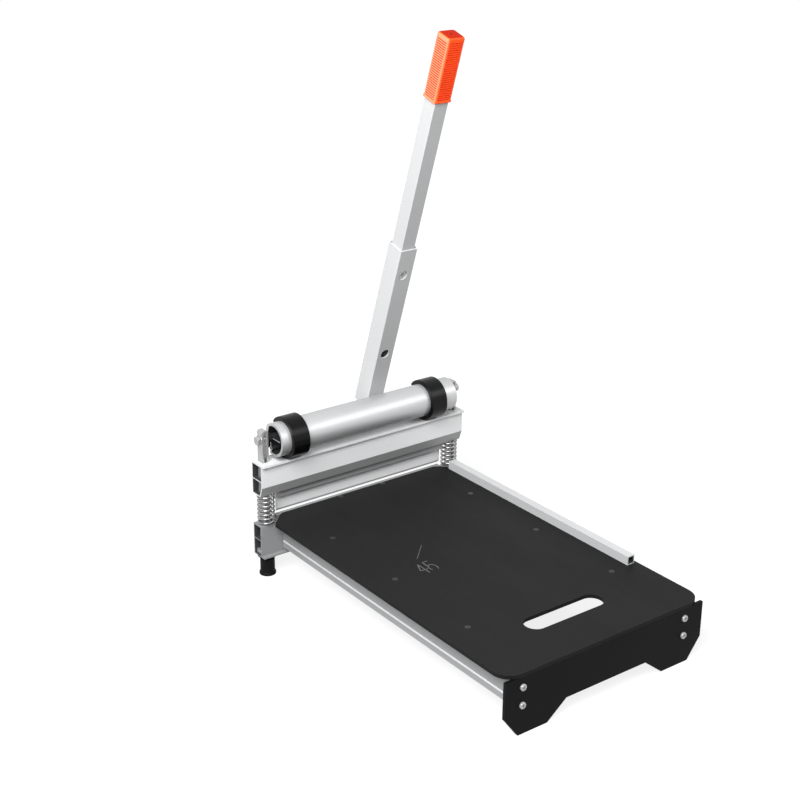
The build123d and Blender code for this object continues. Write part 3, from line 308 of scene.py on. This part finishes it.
def grip_material(name, low, high, painted_side_lighting=None, gloss=0.2):
    """Soft orange moulding with a cloudy tone; if a side colour is given, the two sides take it as painted
    light or painted shade.
    """
    n = Nodes(name)
    place = n.place()
    cloud = n.noise(place, 60.0, 3.0, 0.6)
    skin = n.noise(place, 2400.0, 2.0, 0.5)
    colour = n.mix(n.span(cloud, 0.35, 0.7, 0.0, 1.0), rgb(*low), rgb(*high))
    # Painted light and shade on the two sides: faces turned along Y take the side colour
    if painted_side_lighting:
        own_normal = n.add("ShaderNodeTexCoord").outputs["Normal"]
        facing = n.add("ShaderNodeSeparateXYZ", Vector=own_normal).outputs["Y"]
        sideways = n.span(n.math("ABSOLUTE", facing), 0.3, 0.95, 0.0, 1.0)
        colour = n.mix(sideways, colour, rgb(*painted_side_lighting))
    roughness = n.span(cloud, 0.3, 0.7, 0.36, 0.46)
    normal = n.bump(skin, 0.25, 0.00004)
    made = n.surface(Base_Color=colour, Roughness=roughness, Normal=normal)
    n.shader.inputs["Specular IOR Level"].default_value = gloss
    return made


# Where the upper beam's bevelled foot faces, and the painted shade on the faces at the lever's front
BEVEL_FACING = (0.93543, 0.0, -0.35352)
LEVER_FRONT_PAINTED_SHADE = (tuple(FRONT), 0.72, 0.965)

# Painted shade: the upper beam's bevelled foot gets a much darker copy of the beam's colour
alu_upper = metal(
    "satin_aluminium_beams",
    (0.80, 0.805, 0.81),
    GRAIN_Y,
    painted_facing_light=(BEVEL_FACING, 0.48, 0.965),
)
# Painted shade: the lower beam has a much darker copy of the beams' aluminium, for the shade under the
# upper beam
alu_lower = metal(
    "satin_aluminium_lower_beam",
    (0.29, 0.295, 0.30),
    GRAIN_Y,
    rough=(0.5, 0.6),
    gloss=0.15,
)
# Painted shade and highlight: a darker copy of the aluminium for shade, much paler faces turned upward,
# and a bright painted line at the ledge's height
alu_rail = metal(
    "satin_aluminium_rails",
    (0.36, 0.365, 0.37),
    GRAIN_X,
    painted_facing_light=((0.0, 0.0, 1.0), 2.5, 0.25),
    painted_glint=(0.0506, 0.0530, 2.3),
)
alu_fence = metal("satin_aluminium_fence", (0.60, 0.605, 0.61), GRAIN_X)
# Painted shade: the front faces of both lever tubes are darker than their sides
alu_outer = metal(
    "satin_aluminium_outer_tube",
    (0.66, 0.665, 0.67),
    GRAIN_LEVER,
    painted_facing_light=LEVER_FRONT_PAINTED_SHADE,
)
alu_inner = metal(
    "satin_aluminium_inner_tube",
    (0.62, 0.625, 0.63),
    GRAIN_LEVER,
    painted_facing_light=LEVER_FRONT_PAINTED_SHADE,
)
alu_roller = metal(
    "satin_aluminium_roller",
    (0.52, 0.525, 0.53),
    GRAIN_Y,
    metallic=0.55,
    rough=(0.40, 0.48),
    pits=0.05,
)
alu_anvil = metal(
    "bright_anvil",
    (0.32, 0.325, 0.33),
    GRAIN_Y,
    metallic=0.05,
    rough=(0.5, 0.6),
    gloss=0.15,
)
# Painted shade: near-black skins for the insides of bores and of the roller, standing for the shade in
# them
alu_bore = metal("painted_shade_bore", (0.035, 0.035, 0.037), GRAIN_Y, rough=(0.6, 0.7))
roller_bore = metal("dark_roller_bore", (0.010, 0.010, 0.011), GRAIN_Y, rough=(0.6, 0.7))
blade_metal = metal("ground_blade", (0.86, 0.865, 0.87), GRAIN_Y, rough=(0.28, 0.38), streak=2200.0)
clamp_metal = metal("grey_clamp_bar", (0.30, 0.30, 0.305), GRAIN_Y, rough=(0.40, 0.5))
zinc = plated("zinc_plate", (0.46, 0.46, 0.46), metallic=0.5)
spring_steel = plated("spring_steel", (0.34, 0.34, 0.34), rough=(0.18, 0.26), metallic=0.9)
board_skin = board_material()
plate_coat = coated(
    "black_powder_coat",
    (0.003, 0.003, 0.0032),
    rough=(0.40, 0.5),
    peel=1100.0,
    depth=0.00005,
    lighter=1.6,
    gloss=0.06,
)
band_gloss = coated(
    "gloss_black_band",
    (0.0015, 0.0015, 0.0016),
    rough=(0.28, 0.34),
    peel=250.0,
    depth=0.00002,
    gloss=0.16,
)
rubber = coated("black_rubber", (0.004, 0.004, 0.004), rough=(0.55, 0.7), peel=1800.0, gloss=0.1)
nylon = coated("black_nylon", (0.014, 0.014, 0.015), rough=(0.42, 0.55), gloss=0.2)
oxide = coated("black_oxide", (0.020, 0.020, 0.021), rough=(0.3, 0.4), gloss=0.3)
# Painted light: the grip's two sides are a paler orange
grip_skin = grip_material(
    "orange_grip",
    (0.98, 0.075, 0.008),
    (1.0, 0.09, 0.012),
    painted_side_lighting=(0.96, 0.30, 0.16),
)
# Painted shade: the grooves are a darker orange, nearly black on the two sides
grip_groove_painted_shade = grip_material(
    "grip_groove_painted_shade",
    (0.84, 0.044, 0.005),
    (0.90, 0.050, 0.007),
    painted_side_lighting=(0.10, 0.003, 0.001),
)
grip_top = grip_material("grip_top", (0.42, 0.016, 0.001), (0.46, 0.019, 0.002), gloss=0.03)
mark_paint = coated("grey_marking", (0.14, 0.14, 0.14), rough=(0.6, 0.7), lighter=1.2, gloss=0.1)


# ---------------------------------------------------------------- shapes
def link(obj):
    bpy.context.collection.objects.link(obj)
    return obj


def finish_piece(obj, body, skin, replaced=()):
    if skin:
        obj.data.materials.clear()
        obj.data.materials.append(skin)
    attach(obj, body)
    for name in replaced:
        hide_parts(name)
    return obj


def smooth(mesh, degrees):
    mesh.polygons.foreach_set("use_smooth", [True] * len(mesh.polygons))
    mesh.set_sharp_from_angle(angle=math.radians(degrees))


def bevel(obj, width, segments, degrees):
    modifier = obj.modifiers.new("edge", "BEVEL")
    modifier.width = width
    modifier.segments = segments
    modifier.limit_method = "ANGLE"
    modifier.angle_limit = math.radians(degrees)
    modifier.harden_normals = True
    modifier.use_clamp_overlap = True
    modifier.miter_outer = "MITER_ARC"
    even = obj.modifiers.new("flat_faces", "WEIGHTED_NORMAL")
    even.keep_sharp = True
    even.weight = 90


# How far a bore's wall may be from the wall that it looks at, and how far off its own face a ray starts
BORE_REACH = 0.08
BORE_LIFT = 0.00005


def mark_bores(work):
    """Gives the second skin, a painted shade, to faces that look onto another part of their piece, as a
    bore's walls do.
    """
    tree = BVHTree.FromBMesh(work)
    for face in work.faces:
        start = face.calc_center_median() + face.normal * BORE_LIFT
        if tree.ray_cast(start, face.normal, BORE_REACH)[0] is not None:
            face.material_index = 1


# Points of the CAD shape that are one point, and the angle within which two faces are one flat
WELD = 0.000002
FLAT_DEGREES = 0.4


def dress(name, skin, width=0.0004, degrees=32.0, segments=2, bore=None):
    """A copy of a CAD node's shape with clean faces and soft edges, which stands for the node."""
    mesh = NODES[name].data.copy()
    mesh.name = name + "_dressed"
    mesh.materials.clear()
    mesh.materials.append(skin)
    work = bmesh.new()
    work.from_mesh(mesh)
    work.transform(NODES[name].matrix_world)
    bmesh.ops.remove_doubles(work, verts=work.verts, dist=WELD)
    bmesh.ops.dissolve_limit(
        work,
        angle_limit=math.radians(FLAT_DEGREES),
        verts=work.verts,
        edges=work.edges,
        delimit=set(),
    )
    bmesh.ops.recalc_face_normals(work, faces=work.faces)
    for face in work.faces:
        face.material_index = 0
    # Faces inside a bore take the painted shade skin
    if bore:
        mesh.materials.append(bore)
        mark_bores(work)
    work.to_mesh(mesh)
    work.free()
    smooth(mesh, degrees)
    obj = link(bpy.data.objects.new(name + "_dressed", mesh))
    bevel(obj, width, segments, degrees)
    return finish_piece(obj, BODY_OF[name], None, (name,))


def bridge(work, rows):
    """Joins each closed row of points to the next, and lists the new faces with their row and step."""
    count = len(rows[0])
    made = []
    for row, (lower, upper) in enumerate(zip(rows, rows[1:])):
        for step in range(count):
            ahead = (step + 1) % count
            face = work.faces.new((lower[step], lower[ahead], upper[ahead], upper[step]))
            made.append((row, step, face))
    return made


def into_mesh(work, name):
    """Turns all faces outward and moves them into a new mesh."""
    mesh = bpy.data.meshes.new(name)
    bmesh.ops.recalc_face_normals(work, faces=work.faces)
    work.to_mesh(mesh)
    work.free()
    return mesh


def tube(name, points, radius, sides):
    """A round bar along a line of points, with closed ends."""
    work = bmesh.new()
    side = None
    rings = []
    for i, point in enumerate(points):
        ahead = points[min(i + 1, len(points) - 1)] - points[max(i - 1, 0)]
        ahead.normalize()
        if side is None:
            side = ahead.orthogonal().normalized()
        side = (side - ahead * side.dot(ahead)).normalized()
        other = ahead.cross(side)
        ring = []
        for step in range(sides):
            turn = 2.0 * math.pi * step / sides
            out = side * (radius * math.cos(turn))
            ring.append(work.verts.new(point + out + other * (radius * math.sin(turn))))
        rings.append(ring)
    bridge(work, rings)
    work.faces.new(list(reversed(rings[0])))
    work.faces.new(rings[-1])
    mesh = into_mesh(work, name)
    smooth(mesh, 50.0)
    return link(bpy.data.objects.new(name, mesh))


# ---------------------------------------------------------------- springs
# The two ends, the wire's radius, the radius of the coil's middle line, the turns in all, the turns that
# lie closed at each end, and the angle at which the wire starts
SPRING_LOW, SPRING_HIGH = 0.0872, 0.1385
SPRING_WIRE = 0.0015
SPRING_MEAN = 0.0125
SPRING_TURNS = 7.3
SPRING_CLOSED = 0.5
SPRING_START = math.radians(60.0)


def return_spring(side_name, y):
    """A compression spring with closed ends, from the lower beam to the upper beam."""
    low = SPRING_LOW + SPRING_WIRE
    high = SPRING_HIGH - SPRING_WIRE
    pitch_closed = 2.05 * SPRING_WIRE
    open_turns = SPRING_TURNS - 2.0 * SPRING_CLOSED
    rise = (high - low) - 2.0 * SPRING_CLOSED * pitch_closed
    points = []
    steps = int(SPRING_TURNS * 40)
    for step in range(steps + 1):
        turn = SPRING_TURNS * step / steps
        if turn < SPRING_CLOSED:
            z = low + pitch_closed * turn
        elif turn > SPRING_TURNS - SPRING_CLOSED:
            z = high - pitch_closed * (SPRING_TURNS - turn)
        else:
            share = (turn - SPRING_CLOSED) / open_turns
            z = low + SPRING_CLOSED * pitch_closed + rise * share
        angle = 2.0 * math.pi * turn + SPRING_START
        x = POST_X + SPRING_MEAN * math.cos(angle)
        points.append(Vector((x, y + SPRING_MEAN * math.sin(angle), z)))
    obj = tube(side_name + "_spring_coil", points, SPRING_WIRE, 16)
    obj.data.materials.append(spring_steel)
    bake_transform(obj)
    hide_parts(side_name + "_return_spring")
    return obj


return_spring("near", -POST_Y)
return_spring("far", POST_Y)


# ---------------------------------------------------------------- hexagon heads
def hex_bolt(name, node, head_base, axis, across, height, shank, length):
    """A bolt with a chamfered hexagon head on a plain shank."""
    work = bmesh.new()
    axis = Vector(axis).normalized()
    upright = Vector((0.0, 0.0, 1.0))
    side = axis.cross(upright).normalized()
    count = 48
    sixth = math.pi / 3.0
    turns = [2.0 * math.pi * step / count for step in range(count)]
    rows = []

    def ring(radii, heights):
        points = []
        for turn, radius, out in zip(turns, radii, heights):
            spot = head_base + upright * (radius * math.cos(turn)) + side * (radius * math.sin(turn))
            points.append(work.verts.new(spot + axis * out))
        rows.append(points)

    hexagon = [across / 2.0 / math.cos(turn % sixth - sixth / 2.0) for turn in turns]
    foot = across * 0.46
    rim = across * 0.47
    dip = [max(0.0, radius - rim) * math.tan(math.radians(30.0)) for radius in hexagon]
    ring([shank] * count, [-length] * count)
    ring([shank] * count, [0.0] * count)
    ring([foot] * count, [0.0] * count)
    ring(hexagon, [max(0.0, radius - foot) * 0.5 for radius in hexagon])
    ring(hexagon, [height - drop for drop in dip])
    ring([rim] * count, [height] * count)
    ring([across * 0.30] * count, [height] * count)
    bridge(work, rows)
    work.faces.new(rows[0])
    work.faces.new(rows[-1])
    mesh = into_mesh(work, name)
    smooth(mesh, 28.0)
    obj = link(bpy.data.objects.new(name, mesh))
    bevel(obj, 0.0002, 2, 28.0)
    return finish_piece(obj, BODY_OF[node], zinc, (node,))


for side_name, sign in (("near", -1.0), ("far", 1.0)):
    hex_bolt(
        side_name + "_pivot_bolt_forged",
        side_name + "_pivot_bolt",
        head_base=Vector((POST_X, sign * 0.189, PIVOT_Z)),
        axis=(0.0, sign, 0.0),
        across=0.013,
        height=0.0053,
        shank=0.004,
        length=0.053,
    )


# ---------------------------------------------------------------- CAD shapes with softened edges
# The number after each skin is the width of the soft edges
dress("lower_beam", alu_lower, 0.0004, bore=alu_bore)
dress("upper_beam", alu_upper, 0.0004, 15.0, bore=alu_bore)
dress("cam_roller", alu_roller, 0.0004, bore=roller_bore)
dress("anvil_strip", alu_anvil, 0.0003)
for name in ("near_side_rail", "far_side_rail"):
    dress(name, alu_rail, 0.0006)
dress("guide_fence", alu_fence, 0.0003, bore=alu_bore)
dress("handle_outer_tube", alu_outer, 0.0003)
dress("handle_inner_tube", alu_inner, 0.0003)
dress("handle_lug", alu_anvil, 0.0003)
dress("table_board", board_skin, 0.001, segments=3)
dress("end_plate", plate_coat, 0.0008, segments=3)
for name in ("near_wear_band", "far_wear_band"):
    dress(name, band_gloss, 0.0007, segments=3)
dress("cutting_blade", blade_metal, 0.00015)
dress("blade_clamp_bar", clamp_metal, 0.0003)
for name in ("near_hanger", "far_hanger"):
    dress(name, zinc, 0.0005)
for name in (
    "hanger_anchors",
    "foot_bolts",
    "foot_lock_nuts",
    "pivot_washers",
    "handle_bolts",
    "rail_bolts",
    "end_plate_screws",
    "blade_screws",
    "fence_screws",
    "extension_lock_block",
    "extension_lock_screw",
):
    dress(name, zinc, 0.0002)
for name in ("pivot_spacers", "tube_mouth_liner", "inner_tube_shoe"):
    dress(name, nylon, 0.0003)
dress("board_screws", oxide, 0.0002)
for name in ("near_foot", "far_foot", "foot_washers"):
    dress(name, rubber, 0.0004)


# ---------------------------------------------------------------- grip
# Measured along the lever from the roller's axis, out of the lever's front, and along Y
GRIP_START = 0.531
GRIP_LENGTH = 0.0975
GRIP_AXIS_DEPTH = -0.0383
GRIP_Y = 0.0361
# Half the grip's width, how much wider it is along Y, and its corners' radius
GRIP_HALF = 0.0143
GRIP_STRETCH = 1.05
GRIP_CORNER = 0.004
# Points on each of the four faces, and the share of the corner's radius that the last of them keep clear
GRIP_STEPS = 17
GRIP_CLEAR = 0.29
# The share of a face at which its grooves end, and over which they run out
GROOVE_END = 0.84
GROOVE_FADE = 0.05
# Shares of the pitch between two grooves and of a groove's depth
GROOVE_PROFILE = ((0.0, 0.0), (0.09, 0.85), (0.225, 1.0), (0.36, 0.85), (0.45, 0.0))


def grip_ring(work, place, half, corner, groove=0.0):
    """One ring of the grip's rounded square, pressed in by a groove in the middle of each face."""
    ring = []
    flat = half - corner
    for face in range(4):
        turn = math.radians(90.0 * face)
        out_x, out_y = math.cos(turn), math.sin(turn)
        side_x, side_y = -out_y, out_x
        for step in range(GRIP_STEPS):
            share = 2.0 * step / (GRIP_STEPS - 1) - 1.0
            reach = share * (half - corner * GRIP_CLEAR)
            over = max(0.0, abs(reach) - flat)
            drop = corner - math.sqrt(corner * corner - over * over)
            fade = min(1.0, max(0.0, (GROOVE_END - abs(share)) / GROOVE_FADE))
            depth = half - max(drop, groove * fade)
            x = out_x * depth + side_x * reach
            y = (out_y * depth + side_y * reach) * GRIP_STRETCH
            spot = ROLLER + ALONG * place + FRONT * (GRIP_AXIS_DEPTH + x)
            ring.append(work.verts.new(spot + Vector((0.0, GRIP_Y + y, 0.0))))
    return ring


def handle_grip():
    """The grip: a collar at its foot, 26 grooves across each face, and a rounded end."""
    ribs, collar, cap = 26, 0.003, 0.006
    groove_depth, end_round = 0.0013, 0.0025
    work = bmesh.new()
    rows = []

    for place, grow in (
        (0.004, -0.0026),
        (0.0, -0.0026),
        (0.0, 0.0002),
        (0.0006, 0.0008),
        (collar - 0.0006, 0.0008),
        (collar, 0.0002),
    ):
        rows.append(grip_ring(work, GRIP_START + place, GRIP_HALF + grow, GRIP_CORNER))

    ribs_from = len(rows)
    pitch = (GRIP_LENGTH - collar - cap) / ribs
    for rib in range(ribs):
        start = GRIP_START + collar + (rib + 0.275) * pitch
        for share, level in GROOVE_PROFILE:
            place = start + share * pitch
            rows.append(grip_ring(work, place, GRIP_HALF, GRIP_CORNER, groove_depth * level))

    ribs_to = len(rows)
    top = GRIP_START + GRIP_LENGTH
    for degrees in (0.0, 30.0, 60.0, 85.0):
        angle = math.radians(degrees)
        place = top - end_round * (1.0 - math.sin(angle))
        half = GRIP_HALF - end_round * (1.0 - math.cos(angle))
        rows.append(grip_ring(work, place, half, GRIP_CORNER))
    end_from = len(rows) - 1
    rows.append(grip_ring(work, top, 0.010, 0.0035))
    rows.append(grip_ring(work, top, 0.002, 0.0019))
    rows.append(grip_ring(work, top - 0.006, 0.0019, 0.0018))

    profile = len(GROOVE_PROFILE)
    # Faces in the grooves take the second skin, with painted shade; the end takes the third
    for row, step, face in bridge(work, rows):
        in_groove = ribs_from <= row < ribs_to and (row - ribs_from) % profile < profile - 1
        if row >= end_from:
            face.material_index = 2
        elif in_groove and 2 <= step % GRIP_STEPS <= 13:
            face.material_index = 1
        else:
            face.material_index = 0
    work.faces.new(rows[-1])
    bmesh.ops.remove_doubles(work, verts=work.verts, dist=0.000005)
    mesh = into_mesh(work, "handle_grip_moulded")
    smooth(mesh, 35.0)
    obj = link(bpy.data.objects.new("handle_grip_moulded", mesh))
    for skin in (grip_skin, grip_groove_painted_shade, grip_top):
        mesh.materials.append(skin)
    finish_piece(obj, BODY_OF["handle_grip"], None, ("handle_grip",))


handle_grip()


# ---------------------------------------------------------------- angle mark on the board
PAINT_LIFT = 0.00006
LINE_WIDTH = 0.0008
DIGIT_WIDTH = 0.0014


def stroke(work, points, width):
    """A flat painted stroke through points on the board."""
    half = width / 2.0
    height = BOARD_TOP + PAINT_LIFT
    left, right_side = [], []
    for i, point in enumerate(points):
        ahead = points[min(i + 1, len(points) - 1)] - points[max(i - 1, 0)]
        across = Vector((-ahead.y, ahead.x)).normalized() * half
        left.append(work.verts.new((point.x + across.x, point.y + across.y, height)))
        right_side.append(work.verts.new((point.x - across.x, point.y - across.y, height)))
    for i in range(len(points) - 1):
        work.faces.new((left[i], right_side[i], right_side[i + 1], left[i + 1]))


def on_board(points):
    """Points given in millimetres from the beams' back face and from the middle."""
    return [Vector((BACK_X + x * MM, y * MM)) for x, y in points]


def angle_mark():
    """The 45 degree line and its number."""
    work = bmesh.new()
    line = [(223.6, -37.1), (255.3, -69.6)]
    four = [(299.5, -79.6), (269.4, -79.6), (287.3, -87.4), (288.6, -81.5), (288.6, -74.6)]
    five = [(268.8, -61.0), (268.8, -70.2), (281.4, -70.8)]
    bowl = []
    for step in range(19):
        angle = math.radians(-125.0 + 265.0 * step / 18.0)
        bowl.append((289.6 - 9.6 * math.cos(angle), -66.0 + 6.2 * math.sin(angle)))
    stroke(work, on_board(line), LINE_WIDTH)
    for points in (four[:2], four[1:3], four[2:], five[:2], five[1:], bowl):
        stroke(work, on_board(points), DIGIT_WIDTH)
    mesh = into_mesh(work, "angle_mark")
    obj = link(bpy.data.objects.new("angle_mark", mesh))
    return finish_piece(obj, "base", mark_paint)


angle_mark()


# ---------------------------------------------------------------- floor, light and background
def ray_share(tree):
    """1 for what the camera sees, also in a reflection or through a clear material, otherwise 0."""
    path = tree.nodes.new("ShaderNodeLightPath")
    first = tree.nodes.new("ShaderNodeMath")
    first.operation = "MAXIMUM"
    second = tree.nodes.new("ShaderNodeMath")
    second.operation = "MAXIMUM"
    tree.links.new(path.outputs["Is Camera Ray"], first.inputs[0])
    tree.links.new(path.outputs["Is Glossy Ray"], first.inputs[1])
    tree.links.new(first.outputs[0], second.inputs[0])
    tree.links.new(path.outputs["Is Transmission Ray"], second.inputs[1])
    return second.outputs[0]


def floor_material():
    """A plain pale floor that takes the object's shadow, and is plain grey for bounced light."""
    n = Nodes("pale_floor")
    plain = n.add("ShaderNodeBsdfDiffuse", Color=rgb(0.20, 0.20, 0.20))
    shadowed = n.add("ShaderNodeBsdfDiffuse", Color=rgb(0.22, 0.22, 0.22))
    distance = n.add("ShaderNodeVectorMath", {"operation": "LENGTH"})
    n.put(distance, "0", n.place())
    strength = n.span(distance.outputs["Value"], 0.45, 1.1, 0.84, 1.0)
    glow = n.add("ShaderNodeEmission", Color=rgb(1.0, 1.0, 1.0), Strength=strength)
    seen = n.add("ShaderNodeAddShader")
    n.tree.links.new(shadowed.outputs[0], seen.inputs[0])
    n.tree.links.new(glow.outputs[0], seen.inputs[1])
    mixed = n.add("ShaderNodeMixShader")
    n.tree.links.new(ray_share(n.tree), mixed.inputs[0])
    n.tree.links.new(plain.outputs[0], mixed.inputs[1])
    n.tree.links.new(seen.outputs[0], mixed.inputs[2])
    n.tree.links.new(mixed.outputs[0], n.output.inputs["Surface"])
    return n.material


def floor():
    mesh = bpy.data.meshes.new("studio_floor")
    work = bmesh.new()
    bmesh.ops.create_grid(work, x_segments=8, y_segments=8, size=6.0)
    work.to_mesh(mesh)
    work.free()
    obj = link(bpy.data.objects.new("studio_floor", mesh))
    obj.location.z = -0.0004
    mesh.materials.append(floor_material())


floor()

world = bpy.data.worlds.new("studio")
bpy.context.scene.world = world
world.use_nodes = True
tree = world.node_tree
tree.nodes.clear()
seen_world = tree.nodes.new("ShaderNodeBackground")
seen_world.inputs["Color"].default_value = rgb(1.0, 1.0, 1.0)
seen_world.inputs["Strength"].default_value = 1.0
light_world = tree.nodes.new("ShaderNodeBackground")
light_world.inputs["Color"].default_value = rgb(0.96, 0.98, 1.0)
light_world.inputs["Strength"].default_value = 0.16
world_mix = tree.nodes.new("ShaderNodeMixShader")
world_output = tree.nodes.new("ShaderNodeOutputWorld")
tree.links.new(ray_share(tree), world_mix.inputs[0])
tree.links.new(light_world.outputs[0], world_mix.inputs[1])
tree.links.new(seen_world.outputs[0], world_mix.inputs[2])
tree.links.new(world_mix.outputs[0], world_output.inputs["Surface"])


def lamp(name, place, target, size, power):
    data = bpy.data.lights.new(name, "AREA")
    data.shape = "RECTANGLE"
    data.size, data.size_y = size
    data.energy = power
    obj = link(bpy.data.objects.new(name, data))
    obj.location = place
    obj.rotation_mode = "QUATERNION"
    obj.rotation_quaternion = (Vector(target) - Vector(place)).to_track_quat("-Z", "Y")
    return obj


lamp("key_lamp", (0.774, -1.32, 1.70), (-0.15, 0.0, 0.2), (1.3, 1.3), 80.0)
lamp("far_lamp", (1.24, 1.28, 1.42), (-0.25, 0.0, 0.23), (1.2, 0.8), 13.0)

bpy.context.scene.view_settings.view_transform = "Standard"
